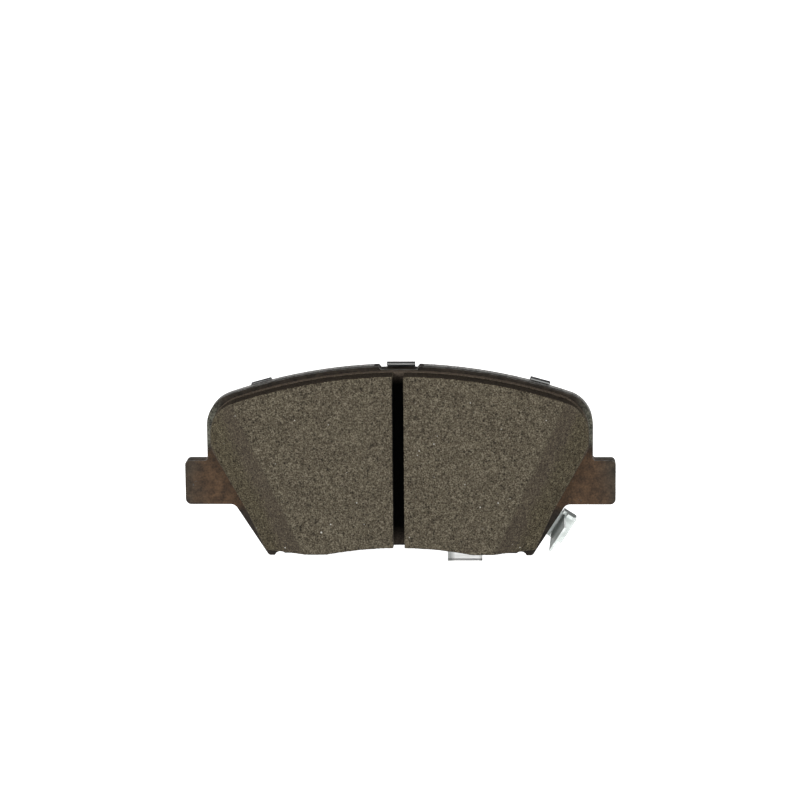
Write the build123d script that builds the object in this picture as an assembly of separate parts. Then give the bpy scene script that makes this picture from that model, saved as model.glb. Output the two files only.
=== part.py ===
from build123d import *
import math
import os

# Disc brake pad with a centre-slotted lining, a layered shim and a wear indicator.
# X runs from ear to ear, +Z points outward along the wheel radius, and -Y points at the disc.
# Depth is measured from the piston face at y = 0 towards the disc, so y = -depth.
# The origin is the centre of the piston face on the back of the outer shim.

# Layer depths
SHIM_BACK = 0.0
SHIM_FRONT = 0.5
RUBBER_FRONT = 0.7
CORE_FRONT = 1.2
PLATE_BACK = 1.35
PLATE_FRONT = 7.35
BOND_FRONT = 7.45
UNDER_FRONT = 9.4
LINING_FACE = 17.8

# Backing plate
TOP_R = 167.0
TOP_Z = 30.95
BODY_HALF = 61.7
SHOULDER_R = 10.5
EAR_HALF = 69.0
EAR_TOP = 0.35
EAR_BOTTOM = -14.0
EAR_TOP_R = 1.4
EAR_LOW_R = 1.8
EAR_ROOT_R = 1.0
FLANK_X = 53.15
FLANK_ROOT_R = 2.5
FLANK_ANGLE = 32.6
NIB_Z = -30.75
NIB_R = 1.1
NIB_IN_X = 40.2
FLOOR_Z = -30.05
RELIEF_X = 38.7
RELIEF_Z = -31.4
RELIEF_R = 1.9
ARCH_HALF = 32.0
ARCH_Z = -27.35
NOTCH_TOP_HALF = 7.4
NOTCH_LOW_HALF = 5.75
NOTCH_Z = 29.85
PLUG_R = 5.0
PLUG_SPOTS = [(-36.0, 4.0), (-17.0, -12.0), (17.0, -12.0), (36.0, 4.0)]

# Lining
BASE_TOP_Z = 29.4
BASE_ARC_X = 0.5
BASE_HALF = 60.2
BASE_SHOULDER_R = 12.5
BASE_FLANK_Z = 4.6
BASE_KNEE_X = 49.0
BASE_KNEE_Z = -15.5
BASE_LOW_X = 43.2
BASE_LOW_Z = -28.25
BASE_ARCH_Z = -26.05
BASE_ARCH_HALF = 23.2
LEDGE = 0.2
SLOT_W = 3.55
CHAMFER_TOP_X = 52.65
CHAMFER_TOP_Z = 21.2
CHAMFER_LOW_X = 30.8
CHAMFER_LOW_Z = -26.4
CHAMFER_RUN = 13.3
CHAMFER_DROP = 8.0

# Shim stack
SHIM_INSET = 1.2
LAYER_INSET = 0.6
MID_TAB_W = 9.1
MID_TAB_X = 0.45
SIDE_TAB_W = 6.5
SIDE_TAB_TILTS = [-15.4, 15.55]
SIDE_TAB_RISES = [0.55, 0.9]
MID_TAB_Z = 31.35
TAB_T = 0.5
TAB_DEPTH = 4.2
LOW_TAB_X = 20.6
LOW_TAB_W = 11.2
LOW_TAB_Z = -34.1
LOW_TAB_LIP = 1.3

# Wear indicator on the lower flank, on the +X side
STRIP_T = 0.7
STRIP_W = 9.2
STRIP_ALONG = 8.1
STRIP_INNER = -11.0
STRIP_CORNER_R = 1.6
FOLD_OUT = 5.6
LEG_IN = 1.6
LEG_TIP = 12.6
LEG_DROP = 2.4
LEG_TRIM = 1.5
FOLD_GAP = 0.1
RIB_IN = 1.0
RIB_T = 1.15
RIB_DEPTH = 5.0
RIB_OVER_LEG = 3.2
RIVET_AT = -5.6
RIVET_R = 2.0
RIVET_HEAD_R = 3.4
RIVET_SHANK_TIP = 5.6


def slab(sketch, depth_back, depth_front):
    """Solid between two depths, from a flat outline in X and Z."""
    return extrude(Plane.XZ.offset(depth_back) * sketch, amount=depth_front - depth_back)


def box_between(x0, x1, z0, z1):
    """Flat rectangle given by its limits."""
    return Pos((x0 + x1) / 2, (z0 + z1) / 2) * Rectangle(x1 - x0, z1 - z0)


def polygon(points):
    """Flat face through the given corners."""
    return make_face(Polyline(*points, close=True))


def near(sketch, spots):
    """Corners of the outline that lie on the given spots, on both sides of the centre line."""
    found = []
    for corner in sketch.vertices():
        for spot_x, spot_z in spots:
            if math.hypot(abs(corner.X) - spot_x, corner.Y - spot_z) < 0.05:
                found.append(corner)
    return found


def arc_z(x, radius, apex):
    """Height of an arc of the given radius and apex at distance x from the centre line."""
    return apex - radius + math.sqrt(radius * radius - x * x)


def flank_x(z):
    """Half width of the plate on its lower flank."""
    return FLANK_X - (EAR_BOTTOM - z) * math.tan(math.radians(FLANK_ANGLE))


def arch_cutter(half, low, apex):
    """Region under a shallow arch that spans twice half at the height low."""
    rise = apex - low
    radius = (half * half + rise * rise) / (2 * rise)
    return Pos(0, apex - radius) * Circle(radius) & box_between(-half, half, low - 6, apex + 1)


def plate_body():
    """Plate outline without ears and corner rounding."""
    disc = Pos(0, TOP_Z - TOP_R) * Circle(TOP_R)
    hull = polygon([
        (-BODY_HALF, 40), (-BODY_HALF, EAR_BOTTOM), (-FLANK_X, EAR_BOTTOM),
        (-flank_x(NIB_Z), NIB_Z), (-NIB_IN_X, NIB_Z), (-NIB_IN_X, FLOOR_Z),
        (NIB_IN_X, FLOOR_Z), (NIB_IN_X, NIB_Z), (flank_x(NIB_Z), NIB_Z),
        (FLANK_X, EAR_BOTTOM), (BODY_HALF, EAR_BOTTOM), (BODY_HALF, 40),
    ])
    return disc & hull


def plate_outline():
    """Plate outline with ears, nibs, reliefs, inner arch and top notch."""
    face = plate_body()
    shoulder = (BODY_HALF, arc_z(BODY_HALF, TOP_R, TOP_Z))
    face = fillet(near(face, [shoulder]), SHOULDER_R)
    face += box_between(-EAR_HALF, EAR_HALF, EAR_BOTTOM, EAR_TOP)
    face = fillet(near(face, [(EAR_HALF, EAR_TOP)]), EAR_TOP_R)
    face = fillet(near(face, [(EAR_HALF, EAR_BOTTOM)]), EAR_LOW_R)
    face = fillet(near(face, [(BODY_HALF, EAR_TOP)]), EAR_ROOT_R)
    face = fillet(near(face, [(FLANK_X, EAR_BOTTOM)]), FLANK_ROOT_R)
    face = fillet(near(face, [(flank_x(NIB_Z), NIB_Z)]), NIB_R)
    for side in (-1, 1):
        face -= Pos(side * RELIEF_X, RELIEF_Z) * Circle(RELIEF_R)
    face -= arch_cutter(ARCH_HALF, FLOOR_Z, ARCH_Z)
    face -= polygon([
        (-NOTCH_LOW_HALF, NOTCH_Z), (NOTCH_LOW_HALF, NOTCH_Z),
        (NOTCH_TOP_HALF, TOP_Z + 1), (-NOTCH_TOP_HALF, TOP_Z + 1),
    ])
    return face


def plug_holes(radius):
    """The round retention holes as flat faces."""
    return [Pos(x, z) * Circle(radius) for x, z in PLUG_SPOTS]


def lining_outline(grow):
    """Outline of the lining's foot, grown outward by the given amount."""
    disc = Pos(BASE_ARC_X, BASE_TOP_Z - TOP_R) * Circle(TOP_R + grow)
    half = BASE_HALF + grow
    knee = BASE_KNEE_X + grow
    low = BASE_LOW_Z - grow
    hull = polygon([
        (-half, 40), (-half, BASE_FLANK_Z), (-knee, BASE_KNEE_Z), (-BASE_LOW_X - grow, low),
        (BASE_LOW_X + grow, low), (knee, BASE_KNEE_Z), (half, BASE_FLANK_Z), (half, 40),
    ])
    face = disc & hull
    shoulders = [(half, arc_z(x - BASE_ARC_X, TOP_R + grow, BASE_TOP_Z + grow)) for x in (-half, half)]
    face = fillet(near(face, shoulders), BASE_SHOULDER_R)
    face = fillet(near(face, [(half, BASE_FLANK_Z)]), 6)
    face = fillet(near(face, [(BASE_LOW_X + grow, low)]), 1.2)
    return face - arch_cutter(BASE_ARCH_HALF, low, BASE_ARCH_Z - grow)


def backing_plate():
    face = plate_outline()
    for hole in plug_holes(PLUG_R):
        face -= hole
    plate = slab(face, PLATE_BACK, PLATE_FRONT)
    shank = strip_plane() * Pos(RIVET_AT, 0) * Circle(RIVET_R)
    return plate - extrude(shank, amount=RIVET_SHANK_TIP)


def bond_film():
    face = lining_outline(LEDGE)
    for hole in plug_holes(PLUG_R):
        face -= hole
    return slab(face, PLATE_FRONT, BOND_FRONT)


def underlayer():
    layer = slab(lining_outline(LEDGE), BOND_FRONT, UNDER_FRONT)
    for plug in plug_holes(PLUG_R):
        layer += slab(plug, PLATE_BACK, BOND_FRONT)
    return layer


def chamfer_cutter():
    """Wedge above the sloping end of the lining on the +X side."""
    run_x = CHAMFER_TOP_X - CHAMFER_LOW_X
    run_z = CHAMFER_TOP_Z - CHAMFER_LOW_Z
    length = math.hypot(run_x, run_z)
    along = Vector(run_x / length, 0, run_z / length)
    outward = Vector(run_z / length, 0, -run_x / length)
    start = Vector(CHAMFER_LOW_X, -LINING_FACE, CHAMFER_LOW_Z)
    frame = Plane(origin=start, x_dir=outward, z_dir=along)
    wedge = frame * polygon([
        (0, 0), (CHAMFER_RUN * 1.6, CHAMFER_DROP * 1.6), (CHAMFER_RUN * 1.6, -2), (0, -2),
    ])
    return extrude(wedge, amount=length + 40, both=True)


def lining(side):
    """One lining segment: the half of the lining on the given side of the slot."""
    block = slab(lining_outline(0), UNDER_FRONT, LINING_FACE)
    half = box_between(SLOT_W / 2, 80, -60, 60)
    if side < 0:
        half = box_between(-80, -SLOT_W / 2, -60, 60)
    block = block & slab(half, UNDER_FRONT, LINING_FACE)
    cutter = chamfer_cutter()
    if side < 0:
        cutter = mirror(cutter, about=Plane.YZ)
    return block - cutter


def shim_outline(inset):
    """Outline of a shim layer: the plate body without ears, moved in from the edge."""
    face = plate_body()
    shoulder = (BODY_HALF, arc_z(BODY_HALF, TOP_R, TOP_Z))
    face = face & box_between(-80, 80, FLOOR_Z, 80)
    face = fillet(near(face, [shoulder]), SHOULDER_R)
    face -= arch_cutter(ARCH_HALF, FLOOR_Z, ARCH_Z)
    corners = [(BODY_HALF, EAR_BOTTOM), (flank_x(FLOOR_Z), FLOOR_Z)]
    face = fillet(near(face, corners), 3)
    face = offset(face, amount=-inset)
    return face - indicator_window()


def strip_plane():
    """Frame of the indicator: origin on the flank edge at the plate back, x outward, y up."""
    angle = math.radians(FLANK_ANGLE)
    outward = Vector(math.cos(angle), 0, -math.sin(angle))
    middle_z = EAR_BOTTOM - STRIP_ALONG * math.cos(angle)
    origin = Vector(flank_x(middle_z), -PLATE_BACK, middle_z)
    return Plane(origin=origin, x_dir=outward, z_dir=(0, -1, 0))


def indicator_window():
    """Clear space in the shims around the indicator strip, as a flat face in X and Z."""
    angle = FLANK_ANGLE
    middle_z = EAR_BOTTOM - STRIP_ALONG * math.cos(math.radians(angle))
    length = 30.0
    centre = STRIP_INNER - 1.0 + length / 2
    window = Rectangle(length, STRIP_W + 2)
    window = fillet(window.vertices(), 1)
    return Pos(flank_x(middle_z), middle_z) * Rot(0, 0, -angle) * Pos(centre, 0) * window


def top_tab(width, rise_z, lean):
    """Tab that folds from the shim over the plate's upper edge, drawn at the centre line."""
    root = slab(box_between(-width / 2, width / 2, rise_z - 4, rise_z), SHIM_BACK, SHIM_FRONT)
    roof = slab(box_between(-width / 2, width / 2, rise_z - TAB_T, rise_z), SHIM_BACK, TAB_DEPTH)
    tab = root + roof
    bend = tab.edges().filter_by(Axis.X).group_by(Axis.Z)[-1].sort_by(Axis.Y)[-1]
    tab = fillet(bend, 0.45)
    centre_z = TOP_Z - TOP_R
    return Pos(0, 0, centre_z) * Rot(0, lean, 0) * Pos(0, 0, -centre_z) * tab


def outer_shim():
    shim = slab(shim_outline(SHIM_INSET), SHIM_BACK, SHIM_FRONT)
    shim += Pos(MID_TAB_X, 0, 0) * top_tab(MID_TAB_W, MID_TAB_Z, 0)
    for lean, rise in zip(SIDE_TAB_TILTS, SIDE_TAB_RISES):
        shim += top_tab(SIDE_TAB_W, TOP_Z + rise, lean)
    low = box_between(LOW_TAB_X - LOW_TAB_W / 2, LOW_TAB_X + LOW_TAB_W / 2, LOW_TAB_Z, ARCH_Z + 2)
    shim += slab(low, SHIM_BACK, SHIM_FRONT)
    lip = box_between(
        LOW_TAB_X - LOW_TAB_W / 2, LOW_TAB_X + LOW_TAB_W / 2, LOW_TAB_Z, LOW_TAB_Z + TAB_T)
    shim += slab(lip, SHIM_BACK, LOW_TAB_LIP)
    return shim


def shim_layer(inset, depth_back, depth_front):
    return slab(shim_outline(inset), depth_back, depth_front)


def indicator_leg():
    """Forward leg of the strip, beside the flank, sinking and flaring towards its tip."""
    frame = strip_plane()
    run = LEG_TIP - PLATE_BACK - FOLD_GAP
    section = Pos(LEG_IN + STRIP_T / 2, 0) * Rectangle(STRIP_T, STRIP_W)
    face = frame.offset(FOLD_GAP) * section
    leg = extrude(face, amount=math.hypot(run, LEG_DROP), dir=(0, -run, -LEG_DROP))
    low = -STRIP_W / 2
    tip = (low - LEG_DROP * math.cos(math.radians(FLANK_ANGLE)), FOLD_GAP + run)
    below = low - STRIP_W
    waste = polygon([(low + LEG_TRIM, FOLD_GAP), tip, (below, FOLD_GAP + run), (below, FOLD_GAP)])
    side = Plane(origin=frame.origin, x_dir=frame.y_dir, z_dir=frame.x_dir)
    return leg - extrude(side * waste, amount=STRIP_W, both=True)


def wear_indicator():
    """Spring strip: flat foot on the plate, folded back on itself, then bent forward as a leg."""
    turn = STRIP_T + FOLD_GAP / 2
    frame = strip_plane()
    path_plane = Plane(origin=frame.origin, x_dir=frame.x_dir, z_dir=frame.y_dir)
    back = STRIP_T
    mid = -FOLD_GAP
    front = mid - STRIP_T
    foot = polygon([(STRIP_INNER, 0), (FOLD_OUT, 0), (FOLD_OUT, back), (STRIP_INNER, back)])
    fold = Pos(FOLD_OUT, mid / 2) * Circle(turn)
    fold -= Pos(FOLD_OUT, mid / 2) * Circle(FOLD_GAP / 2)
    fold &= Pos(FOLD_OUT + turn / 2, mid / 2) * Rectangle(turn, 2 * turn)
    layer = polygon([(LEG_IN, mid), (FOLD_OUT, mid), (FOLD_OUT, front), (LEG_IN, front)])
    strip = extrude(path_plane * (foot + fold + layer), amount=STRIP_W / 2, both=True)
    cross_edges = strip.edges().filter_by(Axis.Y)
    ends = [e for e in cross_edges if frame.to_local_coords(e.center()).X < STRIP_INNER + 1]
    strip = fillet(ends, STRIP_CORNER_R)
    strip += indicator_leg()
    past_leg = LEG_IN + STRIP_T + FOLD_GAP
    rib_face = polygon([
        (RIB_IN, back), (FOLD_OUT, back), (FOLD_OUT, -RIB_DEPTH / 2), (FOLD_OUT - 1, -RIB_DEPTH),
        (past_leg, -RIB_DEPTH), (past_leg, -RIB_OVER_LEG), (RIB_IN, -RIB_OVER_LEG),
    ])
    rib = extrude(path_plane.offset(STRIP_W / 2) * rib_face, amount=RIB_T)
    hole = extrude(frame * Pos(RIVET_AT, 0) * Circle(RIVET_R), amount=2, both=True)
    return strip + rib - hole


def indicator_rivet():
    frame = strip_plane()
    shank = extrude(frame * Pos(RIVET_AT, 0) * Circle(RIVET_R), amount=RIVET_SHANK_TIP)
    shank += extrude(frame * Pos(RIVET_AT, 0) * Circle(RIVET_R), amount=-STRIP_T)
    head_plane = frame.offset(-STRIP_T)
    head = extrude(head_plane * Pos(RIVET_AT, 0) * Circle(RIVET_HEAD_R), amount=-0.6)
    return shank + head


def main():
    os.makedirs("parts", exist_ok=True)
    export_step(backing_plate(), "parts/backing_plate.step")
    export_step(bond_film(), "parts/bond_film.step")
    export_step(underlayer(), "parts/underlayer.step")
    export_step(lining(-1), "parts/friction_left.step")
    export_step(lining(1), "parts/friction_right.step")
    export_step(outer_shim(), "parts/outer_shim.step")
    layer_rubber = shim_layer(SHIM_INSET + LAYER_INSET, SHIM_FRONT, RUBBER_FRONT)
    export_step(layer_rubber, "parts/shim_rubber.step")
    layer_core = shim_layer(SHIM_INSET + LAYER_INSET, RUBBER_FRONT, CORE_FRONT)
    export_step(layer_core, "parts/inner_shim.step")
    layer_film = shim_layer(SHIM_INSET + 2 * LAYER_INSET, CORE_FRONT, PLATE_BACK)
    export_step(layer_film, "parts/shim_adhesive.step")
    export_step(wear_indicator(), "parts/wear_indicator.step")
    export_step(indicator_rivet(), "parts/indicator_rivet.step")


main()
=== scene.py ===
import math

import bmesh
import bpy
import numpy as np
from mathutils import Matrix, Vector, noise


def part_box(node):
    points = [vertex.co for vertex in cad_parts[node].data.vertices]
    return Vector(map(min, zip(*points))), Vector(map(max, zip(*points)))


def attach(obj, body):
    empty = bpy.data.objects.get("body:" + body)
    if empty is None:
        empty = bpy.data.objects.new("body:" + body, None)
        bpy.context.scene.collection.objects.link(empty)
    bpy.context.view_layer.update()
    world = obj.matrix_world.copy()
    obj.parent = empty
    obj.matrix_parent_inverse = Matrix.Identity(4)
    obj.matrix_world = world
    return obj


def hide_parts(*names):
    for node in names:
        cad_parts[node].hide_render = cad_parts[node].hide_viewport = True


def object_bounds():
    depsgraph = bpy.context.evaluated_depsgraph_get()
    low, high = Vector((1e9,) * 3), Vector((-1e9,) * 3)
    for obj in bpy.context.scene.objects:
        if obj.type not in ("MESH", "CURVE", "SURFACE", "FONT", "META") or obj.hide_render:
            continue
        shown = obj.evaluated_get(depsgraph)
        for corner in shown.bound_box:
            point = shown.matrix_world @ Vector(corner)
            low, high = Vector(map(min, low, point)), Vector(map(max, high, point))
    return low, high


# Disc brake pad, seen from the disc's side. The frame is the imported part's: X from ear to ear,
# +Z outward along the wheel radius, -Y towards the disc, in metres. Textures work in millimetres.

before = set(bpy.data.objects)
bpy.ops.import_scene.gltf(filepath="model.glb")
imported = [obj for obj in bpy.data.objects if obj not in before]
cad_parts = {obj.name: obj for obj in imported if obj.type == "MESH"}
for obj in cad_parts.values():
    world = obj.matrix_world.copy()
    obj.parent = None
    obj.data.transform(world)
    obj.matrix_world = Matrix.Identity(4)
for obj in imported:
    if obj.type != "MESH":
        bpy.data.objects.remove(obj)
cad_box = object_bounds()

MM = 0.001

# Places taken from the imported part
PLATE_LOW, PLATE_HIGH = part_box("backing_plate")
LINING_LOW, LINING_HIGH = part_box("friction_right")
UNDER_LOW, UNDER_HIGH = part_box("underlayer")
SHIM_LOW, SHIM_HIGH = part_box("outer_shim")
FACE_Y = LINING_LOW.y
SLOT_HALF = LINING_LOW.x
LINING_HALF = LINING_HIGH.x
EAR_HALF = PLATE_HIGH.x

# The plate's stamped side: rubbed bright from the back and made brighter as a painted highlight, in
# millimetres along Y
BURNISH_HIGHLIGHT_BACK = -3.6
BURNISH_HIGHLIGHT_FRONT = -5.7
NOTCH_CLEAR = 8.2

# Direction in X and Z along the lower flank on the indicator's side, pointing up
FLANK_ANGLE = math.radians(32.6)
FLANK_UP = Vector((math.sin(FLANK_ANGLE), 0, math.cos(FLANK_ANGLE)))
FLANK_OUT = Vector((math.cos(FLANK_ANGLE), 0, -math.sin(FLANK_ANGLE)))

# Rise of the indicator's rib over its strip, in millimetres
RIB_T = 1.15

# Indicator rivet: head, the mark in its middle, shank
RIVET_HEAD_T = 0.6 * MM
RIVET_RIM_SHARE = 0.15
RIVET_MARK_DEPTH = 0.25 * MM
RIVET_MARK_FLOOR = 0.8 * MM
RIVET_MARK_RIM = 1.15 * MM
RIVET_SHANK_SHARE = 2.0 / 3.4
RIVET_STEPS = 6
RIVET_TURNS = 48

# The lower shim tab: its middle and half width in millimetres along X
LOW_TAB_X = 20.6
LOW_TAB_HALF = 5.6
LOW_TAB_LEAN = 0.6

# Lining surface
VOXEL = 0.36 * MM
EDGE_SPREAD = 3
RELIEF_FINE = 0.045 * MM
RELIEF_BROAD = 0.035 * MM
CHIP_DEPTH = 0.5 * MM
SEAT = 0.1 * MM

# Rounding of the edges
PLATE_EDGE = 0.35 * MM
LAYER_EDGE = 0.15 * MM
SHEET_EDGE = 0.1 * MM
BEVEL_ANGLE = math.radians(30)
SHARP_ANGLE = math.radians(38)
RIVET_SHARP_ANGLE = math.radians(50)
FLAT_ANGLE = math.radians(1)
WELD = 0.002 * MM

# Fades between two places, in millimetres: behind the lining's face, out from the slot's wall,
# along Z over the plate, in from the lining's outer end, and behind the shim's front
SLOPE_FADE = (FACE_Y / MM + 0.15, FACE_Y / MM + 0.5)
CHAMFER_STRIP_FADE = (FACE_Y / MM + 4.6, FACE_Y / MM + 2.6)
SLOT_DEPTH_FADE = (FACE_Y / MM + 0.1, FACE_Y / MM + 0.6)
SLOT_WALL_FADE = (SLOT_HALF / MM + 0.45, SLOT_HALF / MM + 0.2)
SLOT_FLOOR_FADE = (SLOT_HALF / MM + 0.3, SLOT_HALF / MM)
SLOT_TOP_FADE = (UNDER_HIGH.z / MM - 0.6, UNDER_HIGH.z / MM - 4)
SLOT_LOW_FADE = (UNDER_LOW.z / MM + 3.2, UNDER_LOW.z / MM + 8)
HEAT_FADE = (EAR_HALF / MM + 1, LINING_HALF / MM)
EAR_TOP_FADE = (5.5, 1.0)
EAR_FOOT_FADE = (PLATE_LOW.z / MM + 13.4, PLATE_LOW.z / MM + 17.2)
# Reach of the pale painted highlight beside the lining's ends
RIM_HIGHLIGHT_END_FADE = (LINING_HALF / MM - 4, LINING_HALF / MM - 0.5)
RIM_HIGHLIGHT_LOW_FADE = (4, 7)
RIM_HIGHLIGHT_TOP_FADE = (24, 15)
BURNISH_HIGHLIGHT_LOW_FADE = (3, 8)
NOTCH_FADE = (NOTCH_CLEAR - 0.4, NOTCH_CLEAR)
CUT_FADE = (SHIM_LOW.y / MM + 0.15, SHIM_LOW.y / MM + 0.05)

# Noise lies mostly between these two values
MOSTLY = (0.35, 0.65)
NEARLY_ALL = (0.3, 0.7)

# Flecks: cell size in millimetres, share of cells without one, reach from the cell's centre
FLECK_KINDS = ((2.6, 0.960, 0.13), (1.4, 0.962, 0.17))

# Colour of the painted shade deep inside the slot
SLOT_DARK = (0.0012, 0.001, 0.0008)


# ---------------------------------------------------------------- node helpers

def put(tree, kind, sockets=None, **settings):
    """Adds a node; a socket given as another node's output is linked, any other is set."""
    made = tree.nodes.new(kind)
    for name, value in settings.items():
        setattr(made, name, value)
    for key, value in (sockets or {}).items():
        if isinstance(value, bpy.types.NodeSocket):
            tree.links.new(value, made.inputs[key])
        else:
            made.inputs[key].default_value = value
    return made


def place_mm(tree, stretch=(1, 1, 1)):
    """Object coordinates in millimetres, stretched along each axis."""
    coords = put(tree, "ShaderNodeTexCoord")
    scale = tuple(1 / (MM * s) for s in stretch)
    return put(tree, "ShaderNodeVectorMath", {0: coords.outputs["Object"], 1: scale},
               operation="MULTIPLY").outputs[0]


def grain(tree, place, size, detail=2.0, rough=0.5):
    """Noise from 0 to 1 whose lumps are about size millimetres across."""
    return put(tree, "ShaderNodeTexNoise", {
        "Vector": place, "Scale": 1 / size, "Detail": detail, "Roughness": rough,
    }).outputs["Fac"]


def cells(tree, place, size):
    """Cell texture: distance to the cell's centre in cell sizes, and a random colour per cell."""
    made = put(tree, "ShaderNodeTexVoronoi", {"Vector": place, "Scale": 1 / size})
    return made.outputs["Distance"], made.outputs["Color"]


def axis(tree, place, name):
    """One coordinate of a vector."""
    return put(tree, "ShaderNodeSeparateXYZ", {0: place}).outputs[name]


def calc(tree, operation, a, b=0.0):
    return put(tree, "ShaderNodeMath", {0: a, 1: b}, operation=operation).outputs[0]


def times(tree, a, b):
    return calc(tree, "MULTIPLY", a, b)


def add(tree, a, b):
    return calc(tree, "ADD", a, b)


def average(tree, a, b, share):
    """The given share of a and the rest of b."""
    return add(tree, times(tree, a, share), times(tree, b, 1 - share))


def face_normal(tree):
    """Direction that the face itself looks in, without smoothing or bump."""
    return put(tree, "ShaderNodeNewGeometry").outputs["True Normal"]


def along(tree, vector, direction):
    """Length of a vector along a fixed direction."""
    return put(tree, "ShaderNodeVectorMath", {0: vector, 1: tuple(direction)},
               operation="DOT_PRODUCT").outputs["Value"]


def span(tree, value, low, high, to_low=0.0, to_high=1.0, smooth=False):
    """Maps low..high to to_low..to_high and holds the ends."""
    kind = "SMOOTHSTEP" if smooth else "LINEAR"
    return put(tree, "ShaderNodeMapRange", {
        "Value": value, "From Min": low, "From Max": high, "To Min": to_low, "To Max": to_high,
    }, interpolation_type=kind).outputs["Result"]


def ramp(tree, value, stops):
    """Colour ramp from a list of (position, colour)."""
    made = put(tree, "ShaderNodeValToRGB", {"Fac": value})
    points = made.color_ramp.elements
    while len(points) < len(stops):
        points.new(0.5)
    for point, (position, colour) in zip(points, stops):
        point.position = position
        point.color = (*colour, 1)
    return made.outputs["Color"]


def mix(tree, share, a, b, kind="MIX"):
    """Blend of two colours."""
    made = put(tree, "ShaderNodeMix", data_type="RGBA", blend_type=kind)
    for socket, value in ((made.inputs["Factor"], share), (made.inputs[6], a), (made.inputs[7], b)):
        if isinstance(value, bpy.types.NodeSocket):
            tree.links.new(value, socket)
        elif isinstance(value, (int, float)):
            socket.default_value = value
        else:
            socket.default_value = (*value, 1)
    return made.outputs[2]


def tint(tree, colour, factor):
    """A colour times a fixed one."""
    return mix(tree, 1.0, colour, factor, "MULTIPLY")


def blend(tree, value, at_low, at_high, reach=MOSTLY):
    """Colour that goes from at_low to at_high while the value runs over its reach."""
    return mix(tree, span(tree, value, *reach), at_low, at_high)


def bump(tree, height, distance):
    """Bump of the given depth in millimetres."""
    sockets = {"Height": height, "Distance": distance * MM, "Strength": 1.0}
    return put(tree, "ShaderNodeBump", sockets).outputs["Normal"]


def start(name):
    """A new material with its node tree and shader."""
    material = bpy.data.materials.new(name)
    material.use_nodes = True
    tree = material.node_tree
    return material, tree, tree.nodes["Principled BSDF"]


def wire(tree, shader, **sockets):
    """Links or sets the shader's sockets; an underscore in a name stands for a space."""
    for key, value in sockets.items():
        socket = shader.inputs[key.replace("_", " ")]
        if isinstance(value, bpy.types.NodeSocket):
            tree.links.new(value, socket)
        elif isinstance(value, tuple):
            socket.default_value = (*value, 1)
        else:
            socket.default_value = value


# ---------------------------------------------------------------- materials

def lining_paint():
    """Moulded friction compound: speckled, porous, with mineral flecks, painted shade in the slot and on
    the walls that face up.
    """
    material, tree, shader = start("lining_compound")
    place = place_mm(tree)
    fine = grain(tree, place, 0.42, detail=2, rough=0.6)
    middle = grain(tree, place, 1.3, detail=2)
    broad = grain(tree, place, 9, detail=3)
    pit = pits(tree, place)
    colour = compound(tree, fine, middle, broad, pit)
    colour = slope_look(tree, place, colour, fine, middle, broad)
    # Very dark painted shade for the walls that face up, outward along the wheel radius
    shaded_wall_tone = blend(tree, middle, (0.008, 0.005, 0.003), (0.024, 0.016, 0.010))
    colour = mix(tree, upward_wall_painted_shade(tree, fine), colour, shaded_wall_tone)
    # Painted shade on the slot's walls
    colour = mix(tree, slot_shade(tree, place), colour, SLOT_DARK)
    colour = mix(tree, flecks(tree, place), colour, (0.95, 0.93, 0.86))
    height = add(tree, fine, times(tree, middle, 0.6))
    height = calc(tree, "SUBTRACT", height, times(tree, pit, 0.7))
    wire(tree, shader, Base_Color=colour, Roughness=span(tree, fine, *NEARLY_ALL, 0.95, 0.72),
         Specular_IOR_Level=0.08, Normal=bump(tree, height, 0.3))
    return material


def pits(tree, place):
    """Share of small dark pits, in about a sixth of the cells."""
    far, tone = cells(tree, place, 0.8)
    return times(tree, span(tree, axis(tree, tone, "X"), 0.80, 0.86), span(tree, far, 0.5, 0.25))


def compound(tree, fine, middle, broad, pit):
    """Speckled colour of the cut face."""
    colour = ramp(tree, average(tree, fine, middle, 0.79), [
        (0.34, (0.020, 0.0175, 0.013)), (0.45, (0.069, 0.058, 0.040)),
        (0.55, (0.104, 0.090, 0.063)), (0.66, (0.192, 0.172, 0.127)),
    ])
    colour = mix(tree, times(tree, pit, 0.62), colour, (0.012, 0.011, 0.008))
    duller = tint(tree, colour, (0.94, 0.92, 0.92))
    warmer = tint(tree, colour, (1.03, 1.02, 1.01))
    return blend(tree, broad, duller, warmer, (0.33, 0.67))


def slope_look(tree, place, colour, fine, middle, broad):
    """Moulded streaks, a darker purplish-brown strip next to the cut face and rubbed edges on all that
    lies behind the cut face.
    """
    depth = axis(tree, place, "Y")
    on_slope = span(tree, depth, *SLOPE_FADE)
    streaks = grain(tree, place_mm(tree, (1, 1, 6)), 0.7, detail=3)
    dull = tint(tree, colour, (0.74, 0.73, 0.67))
    pale = tint(tree, colour, (1.0, 0.99, 0.90))
    colour = mix(tree, on_slope, colour, blend(tree, streaks, dull, pale))
    torn = calc(tree, "SUBTRACT", average(tree, broad, middle, 0.6), 0.5)
    # A darker purplish-brown strip on the slope next to the cut face
    ragged = add(tree, depth, times(tree, torn, 6))
    strip = times(tree, on_slope, span(tree, ragged, *CHAMFER_STRIP_FADE))
    brown = tint(tree, colour, (0.95, 0.89, 0.91))
    purplish_strip_tone = mix(tree, 0.35, brown, (0.086, 0.071, 0.064))
    colour = mix(tree, times(tree, strip, 0.62), colour, purplish_strip_tone)
    rubbed = put(tree, "ShaderNodeAttribute", attribute_name="edge_wear").outputs["Fac"]
    rubbed = times(tree, times(tree, rubbed, on_slope), span(tree, fine, 0.4, 0.6))
    return mix(tree, times(tree, rubbed, 0.4), colour, (0.26, 0.24, 0.18))


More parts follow.
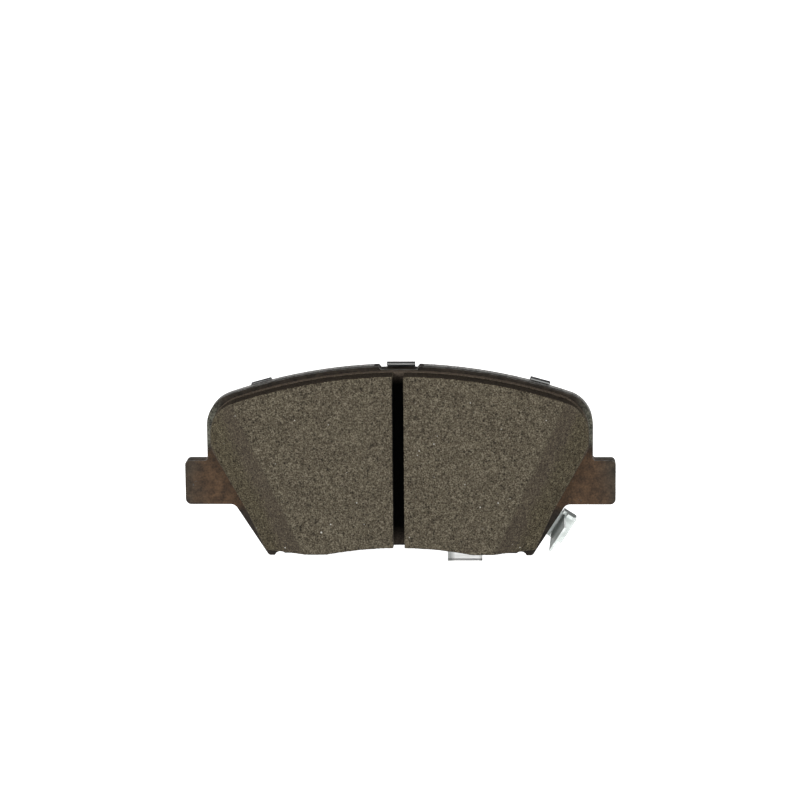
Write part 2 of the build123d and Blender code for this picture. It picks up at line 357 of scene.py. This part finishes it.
def upward_wall_painted_shade(tree, fine):
    """Share of dark painted shade on the walls that face outward along the wheel radius."""
    upward = span(tree, axis(tree, face_normal(tree), "Z"), 0.45, 0.75)
    return times(tree, upward, span(tree, fine, 0.25, 0.6, 1.0, 0.8))


def slot_shade(tree, place):
    """Share of painted shade on the slot's walls: full inside, fading towards both open ends."""
    across = calc(tree, "ABSOLUTE", axis(tree, place, "X"))
    wall = span(tree, across, *SLOT_WALL_FADE)
    inside = span(tree, axis(tree, place, "Y"), *SLOT_DEPTH_FADE)
    return times(tree, times(tree, wall, inside), slot_middle(tree, place))


def slot_middle(tree, place):
    """1 deep inside the slot, fading to 0 at its open top and bottom."""
    up = axis(tree, place, "Z")
    return times(tree, span(tree, up, *SLOT_TOP_FADE), span(tree, up, *SLOT_LOW_FADE))


def flecks(tree, place):
    """Sparse pale mineral flecks of varied brightness on the faces that look at the disc."""
    sockets = {0: axis(tree, place, "X"), 1: axis(tree, place, "Z")}
    flat = put(tree, "ShaderNodeCombineXYZ", sockets).outputs[0]
    share = 0.0
    for size, rarity, reach in FLECK_KINDS:
        far, tone = cells(tree, flat, size)
        chosen = span(tree, axis(tree, tone, "Y"), rarity, rarity + 0.002)
        dot = times(tree, chosen, span(tree, far, reach, reach * 0.6))
        dot = times(tree, dot, span(tree, axis(tree, tone, "X"), 0, 1, 0.10, 0.88))
        share = calc(tree, "MAXIMUM", dot, share)
    return times(tree, share, span(tree, axis(tree, face_normal(tree), "Y"), -0.4, -0.6))


def plate_paint():
    """Satin coating over shot-blasted steel: heat stain on the ears, rubbed land on the stamped side
    that is also a painted highlight, and a pale painted highlight beside the lining's ends.
    """
    material, tree, shader = start("plate_coating")
    place = place_mm(tree)
    fine = grain(tree, place, 0.6, detail=3, rough=0.6)
    blotch = grain(tree, place, 2.6, detail=3)
    broad = grain(tree, place, 8, detail=3)
    across = calc(tree, "ABSOLUTE", axis(tree, place, "X"))
    drift = times(tree, calc(tree, "SUBTRACT", broad, 0.5), 10)
    level = add(tree, axis(tree, place, "Z"), times(tree, drift, 0.3))
    colour = stained_coat(tree, across, level, drift)
    # Pale grey painted highlight on the ledge beside the lining's ends
    colour = mix(tree, rim_painted_highlight(tree, across, level, fine), colour, (0.105, 0.108, 0.088))
    mottle = average(tree, fine, blotch, 0.5)
    darker = tint(tree, colour, (0.43, 0.44, 0.47))
    paler = tint(tree, colour, (1.80, 1.74, 1.66))
    colour = blend(tree, mottle, darker, paler, (0.36, 0.64))
    scuff = span(tree, grain(tree, place, 3.0, detail=5, rough=0.7), 0.66, 0.72)
    colour = mix(tree, times(tree, scuff, 0.6), colour, (0.10, 0.10, 0.10))
    shear_and_shade = grain(tree, place_mm(tree, (0.5, 9, 0.5)), 1.0, detail=3, rough=0.6)
    rubbed = average(tree, shear_and_shade, fine, 0.6)
    steel = blend(tree, rubbed, (0.13, 0.127, 0.12), (0.42, 0.41, 0.39), (0.36, 0.62))
    # Pale rubbed steel on the stamped side, made bright as a painted highlight
    colour = mix(tree, burnish_and_highlight(tree, place, across, level, blotch), colour, steel)
    height = add(tree, fine, times(tree, blotch, 0.8))
    wire(tree, shader, Base_Color=colour, Roughness=span(tree, broad, *NEARLY_ALL, 0.45, 0.62),
         Specular_IOR_Level=0.14, Normal=bump(tree, height, 0.06))
    return material


def stained_coat(tree, across, level, drift):
    """Near-black coating that turns brown on the ears, most of all next to the lining."""
    heat = span(tree, add(tree, across, drift), *HEAT_FADE, smooth=True)
    stain = mix(tree, heat, (0.032, 0.025, 0.018), (0.052, 0.031, 0.017))
    ear = span(tree, level, *EAR_TOP_FADE, smooth=True)
    foot = span(tree, level, *EAR_FOOT_FADE, smooth=True)
    return mix(tree, times(tree, ear, foot), (0.020, 0.016, 0.012), stain)


def rim_painted_highlight(tree, across, level, fine):
    """Share of pale grey painted highlight on the ledge beside the lining's ends."""
    height = times(tree, span(tree, level, *RIM_HIGHLIGHT_LOW_FADE), span(tree, level, *RIM_HIGHLIGHT_TOP_FADE))
    highlit_rim = times(tree, span(tree, across, *RIM_HIGHLIGHT_END_FADE), height)
    return times(tree, times(tree, highlit_rim, span(tree, fine, 0.3, 0.55)), 0.9)


def burnish_and_highlight(tree, place, across, level, blotch):
    """Share of bright rubbed steel on the stamped side, also a painted highlight: none in the notch,
    little on the ears.
    """
    looks_back = calc(tree, "ABSOLUTE", axis(tree, face_normal(tree), "Y"))
    side = span(tree, looks_back, 0.75, 0.35)
    edge_line = add(tree, axis(tree, place, "Y"), times(tree, blotch, 1.2))
    land = times(tree, side, span(tree, edge_line, BURNISH_HIGHLIGHT_FRONT, BURNISH_HIGHLIGHT_BACK))
    land = times(tree, land, span(tree, across, *NOTCH_FADE))
    return times(tree, land, span(tree, level, *BURNISH_HIGHLIGHT_LOW_FADE, 0.15, 1))


def worn_edge_paint():
    """The coating where the plate's stamped edge has rubbed through to grey steel."""
    material, tree, shader = start("plate_worn_edge")
    place = place_mm(tree)
    patch = grain(tree, place, 1.8, detail=4, rough=0.6)
    bare = span(tree, patch, 0.42, 0.58)
    colour = mix(tree, bare, (0.032, 0.029, 0.026), (0.17, 0.165, 0.155))
    fine = grain(tree, place, 0.4, detail=2)
    wire(tree, shader, Base_Color=colour, Metallic=times(tree, bare, 0.35),
         Roughness=span(tree, fine, *NEARLY_ALL, 0.4, 0.6), Normal=bump(tree, fine, 0.04))
    return material


def underlayer_paint():
    """Moulded underlayer compound, finer and darker than the lining."""
    material, tree, shader = start("underlayer_compound")
    place = place_mm(tree)
    fine = grain(tree, place, 0.4, detail=3, rough=0.6)
    colour = blend(tree, fine, (0.045, 0.035, 0.026), (0.105, 0.084, 0.064))
    across = calc(tree, "ABSOLUTE", axis(tree, place, "X"))
    # Painted shade on the slot floor between the lining blocks
    inside = times(tree, span(tree, across, *SLOT_FLOOR_FADE), slot_middle(tree, place))
    colour = mix(tree, inside, colour, SLOT_DARK)
    wire(tree, shader, Base_Color=colour, Roughness=0.9, Specular_IOR_Level=0.1,
         Normal=bump(tree, fine, 0.1))
    return material


def film_paint(name, dark, pale, roughness):
    """Thin cured film, seen only at its rim."""
    material, tree, shader = start(name)
    fine = grain(tree, place_mm(tree), 0.6, detail=3)
    wire(tree, shader, Base_Color=blend(tree, fine, dark, pale), Roughness=roughness,
         Normal=bump(tree, fine, 0.03))
    return material


def sheet_steel(name, tone, roughness, smear):
    """Rolled sheet steel: fine lines along the roll and soft smudges."""
    material, tree, shader = start(name)
    lines = grain(tree, place_mm(tree, (14, 1, 0.35)), 1.0, detail=3)
    cloud = grain(tree, place_mm(tree), 11, detail=4)
    colour = blend(tree, lines, tuple(c * 0.72 for c in tone), tone)
    smudge = times(tree, span(tree, cloud, 0.45, 0.7), smear)
    colour = mix(tree, smudge, colour, tuple(c * 0.45 for c in tone))
    rough = span(tree, cloud, *NEARLY_ALL, roughness, roughness + 0.18)
    wire(tree, shader, Base_Color=colour, Metallic=1.0, Roughness=rough,
         Normal=bump(tree, lines, 0.012))
    return material


def zinc_paint(name, rib_top=None):
    """Bright zinc coating with faint spangle; where rib_top is given, the strip gets a painted highlight
    on its upper edges and painted shade on its rib.
    """
    material, tree, shader = start(name)
    place = place_mm(tree)
    cloud = grain(tree, place, 2.5, detail=3)
    fine = grain(tree, place, 0.35, detail=2)
    spangle = axis(tree, cells(tree, place, 1.6)[1], "X")
    tone = average(tree, cloud, spangle, 0.6)
    colour = blend(tree, tone, (0.50, 0.54, 0.52), (0.69, 0.73, 0.71), NEARLY_ALL)
    rub = span(tree, grain(tree, place_mm(tree, (7, 1, 0.5)), 0.8, detail=3), 0.62, 0.70)
    colour = mix(tree, times(tree, rub, 0.5), colour, (0.36, 0.38, 0.37))
    metal = 0.55
    if rib_top is not None:
        colour, metal = edge_highlight_and_shade(tree, place, colour, metal, fine, rib_top)
    wire(tree, shader, Base_Color=colour, Metallic=metal,
         Roughness=span(tree, fine, *NEARLY_ALL, 0.28, 0.42), Normal=bump(tree, fine, 0.015))
    return material


def edge_highlight_and_shade(tree, place, colour, metal, fine, rib_top):
    """Painted highlight: pale upper edges; painted shade: a grey rib end and a dark rib top, whose
    height is rib_top.
    """
    height = along(tree, place, FLANK_UP)
    facing = face_normal(tree)
    upward = span(tree, along(tree, facing, FLANK_UP), 0.6, 0.8)
    # Painted highlight: pale, nearly matt tone on the edges that face up
    upper_edge_highlight = blend(tree, fine, (0.80, 0.83, 0.82), (0.95, 0.97, 0.96), NEARLY_ALL)
    colour = mix(tree, upward, colour, upper_edge_highlight)
    # Painted shade: grey on the rib's inward-facing end
    inward = span(tree, along(tree, facing, -FLANK_OUT), 0.5, 0.7)
    on_rib = span(tree, height, rib_top - RIB_T - 0.15, rib_top - RIB_T + 0.05)
    colour = mix(tree, times(tree, inward, on_rib), colour, (0.20, 0.22, 0.21))
    # Painted shade: dark grey on the rib's top
    shear_and_shade = span(tree, height, rib_top - 0.2, rib_top - 0.08)
    grey = blend(tree, fine, (0.10, 0.12, 0.11), (0.20, 0.22, 0.21), NEARLY_ALL)
    return mix(tree, shear_and_shade, colour, grey), span(tree, upward, 0, 1, metal, 0.1)


def shim_paint():
    """Shim sheet: dark satin coating on its outward side, bare steel inside and on the cut edges."""
    material, tree, shader = start("shim_coating")
    place = place_mm(tree)
    lines = grain(tree, place_mm(tree, (9, 1, 0.4)), 1.0, detail=3)
    cloud = grain(tree, place, 9, detail=4)
    fine = grain(tree, place, 0.4, detail=3)
    coated = shim_coat_share(tree, place)
    colour = mix(tree, coated, shim_bare(tree, place, lines), shim_coat(tree, cloud, fine))
    height = add(tree, times(tree, lines, 0.4), fine)
    wire(tree, shader, Base_Color=colour, Metallic=span(tree, coated, 0, 1, 0.5, 0.0),
         Roughness=span(tree, coated, 0, 1, 0.3, 0.6), Normal=bump(tree, height, 0.015))
    return material


def shim_coat_share(tree, place):
    """1 on the back and on the upper tabs, except the cut edges of the middle and right ones; on the
    upper tabs' inner faces the coat is also painted shade under the tabs.
    """
    from_back = span(tree, axis(tree, face_normal(tree), "Y"), 0.5, 0.7)
    not_left = span(tree, axis(tree, place, "X"), -LOW_TAB_X - 8, -LOW_TAB_X)
    cut_edge = times(tree, span(tree, axis(tree, place, "Y"), *CUT_FADE), not_left)
    # On the upper tabs the coat also stands for painted shade under the tabs
    upper = times(tree, span(tree, axis(tree, place, "Z"), 0, 1), span(tree, cut_edge, 0, 1, 1, 0))
    coated = calc(tree, "MAXIMUM", from_back, upper)
    rubbed = span(tree, grain(tree, place, 2.2, detail=5, rough=0.65), 0.66, 0.72)
    return times(tree, coated, span(tree, rubbed, 0, 1, 1, 0.45))


def shim_bare(tree, place, lines):
    """Bright bare steel, with painted shade making it greyer along the lower tab's sides and on all of
    the upper tabs.
    """
    steel = blend(tree, lines, (0.80, 0.80, 0.79), (0.95, 0.95, 0.94))
    up = axis(tree, place, "Z")
    aside = calc(tree, "SUBTRACT", axis(tree, place, "X"), LOW_TAB_X + LOW_TAB_LEAN)
    # Painted shade greys the bare steel along the lower tab's sides and on the upper tabs
    rim = span(tree, calc(tree, "ABSOLUTE", aside), LOW_TAB_HALF - 1.9, LOW_TAB_HALF - 0.3)
    low_rim = times(tree, rim, span(tree, up, -8, -10))
    grey = calc(tree, "MAXIMUM", low_rim, span(tree, up, 0, 1))
    return mix(tree, grey, steel, (0.36, 0.37, 0.36))


def shim_coat(tree, cloud, fine):
    """Dark satin coating with fine long scratches."""
    dark = blend(tree, cloud, (0.015, 0.015, 0.016), (0.034, 0.033, 0.033))
    dark = blend(tree, fine, dark, tint(tree, dark, (1.5, 1.5, 1.5)), (0.4, 0.7))
    drawn = grain(tree, place_mm(tree, (26, 1, 0.3)), 1.0, detail=2)
    scratch = times(tree, span(tree, drawn, 0.70, 0.74), span(tree, cloud, 0.5, 0.62))
    return mix(tree, times(tree, scratch, 0.5), dark, (0.12, 0.12, 0.12))


# ---------------------------------------------------------------- mesh helpers

def link(name, mesh, material):
    """A new object for a finished mesh."""
    mesh.materials.clear()
    mesh.materials.append(material)
    piece = bpy.data.objects.new(name, mesh)
    bpy.context.scene.collection.objects.link(piece)
    return piece


def cad_copy(node, name, material):
    """A copy of a CAD node's mesh with joined corners and whole flat faces."""
    mesh = bpy.data.meshes.new(name)
    work = bmesh.new()
    work.from_mesh(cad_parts[node].data)
    bmesh.ops.remove_doubles(work, verts=work.verts, dist=WELD)
    bmesh.ops.dissolve_limit(work, angle_limit=FLAT_ANGLE, verts=work.verts, edges=work.edges)
    work.to_mesh(mesh)
    work.free()
    for layer in ("custom_normal", "UVMap"):
        if layer in mesh.attributes:
            mesh.attributes.remove(mesh.attributes[layer])
    return link(name, mesh, material)


def bake_modifiers(piece):
    """Makes the result of a piece's modifiers its mesh."""
    bpy.context.view_layer.update()
    graph = bpy.context.evaluated_depsgraph_get()
    mesh = bpy.data.meshes.new_from_object(piece.evaluated_get(graph))
    piece.modifiers.clear()
    piece.data = mesh


def round_edges(piece, width, segments=2, edge_material=None):
    """Bevels a piece's sharp edges and evens out the shading of its flat faces."""
    bevel = piece.modifiers.new("bevel", "BEVEL")
    bevel.width = width
    bevel.segments = segments
    bevel.limit_method = "ANGLE"
    bevel.angle_limit = BEVEL_ANGLE
    bevel.miter_outer = "MITER_ARC"
    if edge_material:
        piece.data.materials.append(edge_material)
        bevel.material = 1
    bake_modifiers(piece)
    piece.data.shade_smooth()
    piece.data.set_sharp_from_angle(angle=SHARP_ANGLE)
    even = piece.modifiers.new("even", "WEIGHTED_NORMAL")
    even.weight = 100
    even.keep_sharp = True
    bake_modifiers(piece)


def settle(piece, slot_name, *nodes):
    """Puts a finished piece on the body and hides the CAD nodes it stands for; slot_name is not used."""
    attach(piece, "root")
    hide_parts(*nodes)
    return piece


def read_points(mesh):
    points = np.empty(len(mesh.vertices) * 3)
    mesh.vertices.foreach_get("co", points)
    return points.reshape(-1, 3)


def read_normals(mesh):
    normals = np.empty(len(mesh.vertices) * 3)
    mesh.vertex_normals.foreach_get("vector", normals)
    return normals.reshape(-1, 3)


def neighbour_mean(values, pairs, count):
    """Mean of a per-vertex value over each vertex's neighbours."""
    total = np.bincount(pairs[:, 0], weights=values[pairs[:, 1]], minlength=count)
    total += np.bincount(pairs[:, 1], weights=values[pairs[:, 0]], minlength=count)
    degree = np.bincount(pairs.ravel(), minlength=count)
    return total / np.maximum(degree, 1)


def edge_share(mesh, points, normals):
    """How near each vertex is to a convex edge, from 0 to about 1."""
    pairs = np.empty(len(mesh.edges) * 2, int)
    mesh.edges.foreach_get("vertices", pairs)
    pairs = pairs.reshape(-1, 2)
    count = len(points)
    middle = np.stack([neighbour_mean(points[:, k], pairs, count) for k in range(3)], axis=1)
    share = np.clip(((points - middle) * normals).sum(axis=1) / VOXEL * 3, 0, 1)
    for _ in range(EDGE_SPREAD):
        share = np.maximum(share, 0.35 * share + 0.65 * neighbour_mean(share, pairs, count))
    return share


def lumps(points, size, offset):
    """Smooth noise at each point, about -1 to 1, with lumps of the given size in millimetres."""
    scale = 1 / (size * MM)
    return np.array([noise.noise(Vector(p) * scale + Vector((offset, 0, 0))) for p in points])


# ---------------------------------------------------------------- pieces

def lining_block(node, name, material):
    """Lining segment: a dense skin over the CAD block with a porous face and crumbled edges."""
    piece = cad_copy(node, name, material)
    remesh = piece.modifiers.new("remesh", "REMESH")
    remesh.mode = "VOXEL"
    remesh.voxel_size = VOXEL
    bake_modifiers(piece)
    mesh = piece.data
    points = read_points(mesh)
    normals = read_normals(mesh)
    share = edge_share(mesh, points, normals)
    relief = RELIEF_FINE * lumps(points, 0.9, 0) + RELIEF_BROAD * lumps(points, 3.2, 17)
    crumble = np.clip(lumps(points, 1.1, 31) + 0.6 * lumps(points, 0.6, 47) - 0.05, 0, 1)
    move = relief - share * CHIP_DEPTH * crumble
    seated = points[:, 1] > LINING_HIGH.y - SEAT
    move[seated] = 0
    points += normals * move[:, None]
    mesh.vertices.foreach_set("co", points.ravel())
    wear = mesh.attributes.new("edge_wear", "FLOAT", "POINT")
    wear.data.foreach_set("value", share.astype(np.float32))
    mesh.shade_smooth()
    mesh.update()
    return settle(piece, "lining", node)


def domed_rivet(name, material):
    """Turned rivet: a domed head with a set mark in its middle, and a plain shank into the plate."""
    low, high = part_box("indicator_rivet")
    middle = (low + high) / 2
    head = high.x - middle.x
    shank = head * RIVET_SHANK_SHARE
    under = high.y - RIVET_HEAD_T
    mark = high.y - RIVET_MARK_DEPTH
    profile = [(0, mark), (RIVET_MARK_FLOOR, mark), (RIVET_MARK_RIM, high.y)]
    for step in range(1, RIVET_STEPS + 1):
        turn = math.pi / 2 * step / RIVET_STEPS
        reach = RIVET_MARK_RIM + (head - RIVET_MARK_RIM) * math.sin(turn)
        rise = RIVET_RIM_SHARE + (1 - RIVET_RIM_SHARE) * math.cos(turn)
        profile.append((reach, under + RIVET_HEAD_T * rise))
    profile += [(head, under), (shank, under), (shank, low.y), (0, low.y)]
    work = bmesh.new()
    for reach, y in profile:
        work.verts.new((reach, y, 0))
    work.verts.ensure_lookup_table()
    edges = [work.edges.new(pair) for pair in zip(work.verts[:-1], work.verts[1:])]
    bmesh.ops.spin(work, geom=work.verts[:] + edges, axis=(0, 1, 0), cent=(0, 0, 0),
                   steps=RIVET_TURNS, angle=math.tau)
    bmesh.ops.remove_doubles(work, verts=work.verts, dist=WELD)
    bmesh.ops.recalc_face_normals(work, faces=work.faces)
    bmesh.ops.translate(work, verts=work.verts, vec=(middle.x, 0, middle.z))
    mesh = bpy.data.meshes.new(name)
    work.to_mesh(mesh)
    work.free()
    piece = link(name, mesh, material)
    mesh.shade_smooth()
    mesh.set_sharp_from_angle(angle=RIVET_SHARP_ANGLE)
    return piece


def build_pieces():
    compound = lining_paint()
    lining_block("friction_left", "lining_left", compound)
    lining_block("friction_right", "lining_right", compound)

    plate = cad_copy("backing_plate", "steel_plate", plate_paint())
    round_edges(plate, PLATE_EDGE, 3, edge_material=worn_edge_paint())
    settle(plate, "plate_paint", "backing_plate")

    layer = cad_copy("underlayer", "moulded_underlayer", underlayer_paint())
    round_edges(layer, LAYER_EDGE)
    settle(layer, "underlayer", "underlayer")

    shim = cad_copy("outer_shim", "shim_sheet", shim_paint())
    cut_steel = sheet_steel("shim_cut_edge", (0.42, 0.42, 0.41), 0.35, 0.4)
    round_edges(shim, SHEET_EDGE, edge_material=cut_steel)
    settle(shim, "shim_steel", "outer_shim")

    strip = cad_copy("wear_indicator", "indicator_strip", None)
    rib_top = max(v.co.dot(FLANK_UP) for v in strip.data.vertices) / MM
    strip.data.materials[0] = zinc_paint("sprung_strip_zinc", rib_top)
    round_edges(strip, SHEET_EDGE)
    settle(strip, "indicator_zinc", "wear_indicator")
    rivet = domed_rivet("indicator_rivet_head", zinc_paint("rivet_zinc"))
    settle(rivet, "indicator_zinc", "indicator_rivet")

    repaint("bond_film", film_paint("cured_film", (0.06, 0.035, 0.018), (0.14, 0.085, 0.045), 0.6))
    repaint("shim_rubber", film_paint("damping_rubber", (0.012, 0.012, 0.012), (0.03, 0.03, 0.03), 0.75))
    repaint("shim_adhesive", film_paint("adhesive_film", (0.05, 0.05, 0.05), (0.1, 0.1, 0.095), 0.7))
    repaint("inner_shim", sheet_steel("coated_core_sheet", (0.33, 0.33, 0.34), 0.45, 0.2))


def repaint(node, material):
    """Gives a CAD node a better material."""
    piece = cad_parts[node]
    for holder in piece.material_slots:
        holder.material = material


# ---------------------------------------------------------------- stage

CAMERA_AZIMUTH = 2.70
CAMERA_ELEVATION = 11.587
CAMERA_ROLL = 0.5215
CAMERA_PITCH = 1.2547
CAMERA_YAW = 0.0183
CAMERA_FAR = 900 * MM
CAMERA_AIM = Vector((0, -7.35 * MM, 0))
CAMERA_LENS = 126.6
FLOOR_GLOW = 1.0
ROOM_LIGHT = 0.25
STAGE_REACH = 6
LAMP_FAR = 0.8


def make_camera():
    """Camera above and slightly to the right, aimed over the pad so that the pad sits low."""
    turn = math.radians(CAMERA_AZIMUTH)
    rise = math.radians(CAMERA_ELEVATION)
    back = Vector((math.sin(turn) * math.cos(rise), -math.cos(turn) * math.cos(rise), math.sin(rise)))
    right = Vector((math.cos(turn), math.sin(turn), 0))
    pitch = Matrix.Rotation(math.radians(CAMERA_PITCH), 3, right)
    up = pitch @ back.cross(right)
    ahead = pitch @ -back
    yaw = Matrix.Rotation(-math.radians(CAMERA_YAW), 3, up)
    ahead = yaw @ ahead
    right = yaw @ right
    roll = Matrix.Rotation(-math.radians(CAMERA_ROLL), 3, -ahead)
    right = roll @ right
    up = roll @ up
    data = bpy.data.cameras.new("camera")
    data.lens = CAMERA_LENS
    data.sensor_width = 36
    data.clip_start = 0.01
    camera = bpy.data.objects.new("camera", data)
    turned = Matrix((right, up, -ahead)).transposed().to_4x4()
    camera.matrix_world = Matrix.Translation(CAMERA_AIM + back * CAMERA_FAR) @ turned
    bpy.context.scene.collection.objects.link(camera)
    bpy.context.scene.camera = camera


def white_glow(name, strength):
    """Even white that stands for a lit studio surface."""
    material, tree, shader = start(name)
    wire(tree, shader, Base_Color=(0.8, 0.8, 0.8), Roughness=0.9, Specular_IOR_Level=0.0,
         Emission_Color=(1.0, 1.0, 1.0), Emission_Strength=strength)
    return material


def make_floor():
    """Plain white floor at the pad's lowest point, which runs into a white backdrop."""
    work = bmesh.new()
    bmesh.ops.create_grid(work, x_segments=1, y_segments=1, size=STAGE_REACH)
    mesh = bpy.data.meshes.new("floor")
    work.to_mesh(mesh)
    work.free()
    floor = link("floor", mesh, white_glow("white_floor", FLOOR_GLOW))
    floor.location.z = cad_box[0][2]
    floor.visible_diffuse = False
    floor.visible_shadow = False

    work = bmesh.new()
    bmesh.ops.create_icosphere(work, subdivisions=4, radius=STAGE_REACH)
    mesh = bpy.data.meshes.new("backdrop")
    work.to_mesh(mesh)
    work.free()
    backdrop = link("backdrop", mesh, white_glow("white_backdrop", 1.0))
    backdrop.visible_diffuse = False
    backdrop.visible_glossy = False
    backdrop.visible_transmission = False
    backdrop.visible_shadow = False


def make_world():
    world = bpy.data.worlds.new("soft_room")
    bpy.context.scene.world = world
    world.use_nodes = True
    sky = world.node_tree.nodes["Background"]
    sky.inputs["Color"].default_value = (1, 1, 1, 1)
    sky.inputs["Strength"].default_value = ROOM_LIGHT


def soft_box(name, azimuth, elevation, size, power, mirrored=True):
    """Square area light on a circle round the pad, seen from it at the given direction."""
    middle = (Vector(cad_box[0]) + Vector(cad_box[1])) / 2
    turn = math.radians(azimuth)
    rise = math.radians(elevation)
    away = Vector((math.sin(turn) * math.cos(rise), -math.cos(turn) * math.cos(rise), math.sin(rise)))
    data = bpy.data.lights.new(name, "AREA")
    data.shape = "SQUARE"
    data.size = size
    data.energy = power
    lamp = bpy.data.objects.new(name, data)
    facing = (-away).to_track_quat("-Z", "Y").to_matrix().to_4x4()
    lamp.matrix_world = Matrix.Translation(middle + away * LAMP_FAR) @ facing
    lamp.visible_glossy = mirrored
    bpy.context.scene.collection.objects.link(lamp)


def make_lights():
    soft_box("key_left", azimuth=-45, elevation=22, size=0.45, power=5.5)
    soft_box("fill_right", azimuth=50, elevation=18, size=0.45, power=4.2)
    soft_box("floor_bounce", azimuth=5, elevation=-28, size=0.5, power=1.0)
    soft_box("back_fill", azimuth=172, elevation=8, size=0.45, power=1.6, mirrored=False)


build_pieces()
make_camera()
make_floor()
make_world()
make_lights()
bpy.context.scene.view_settings.view_transform = "Standard"
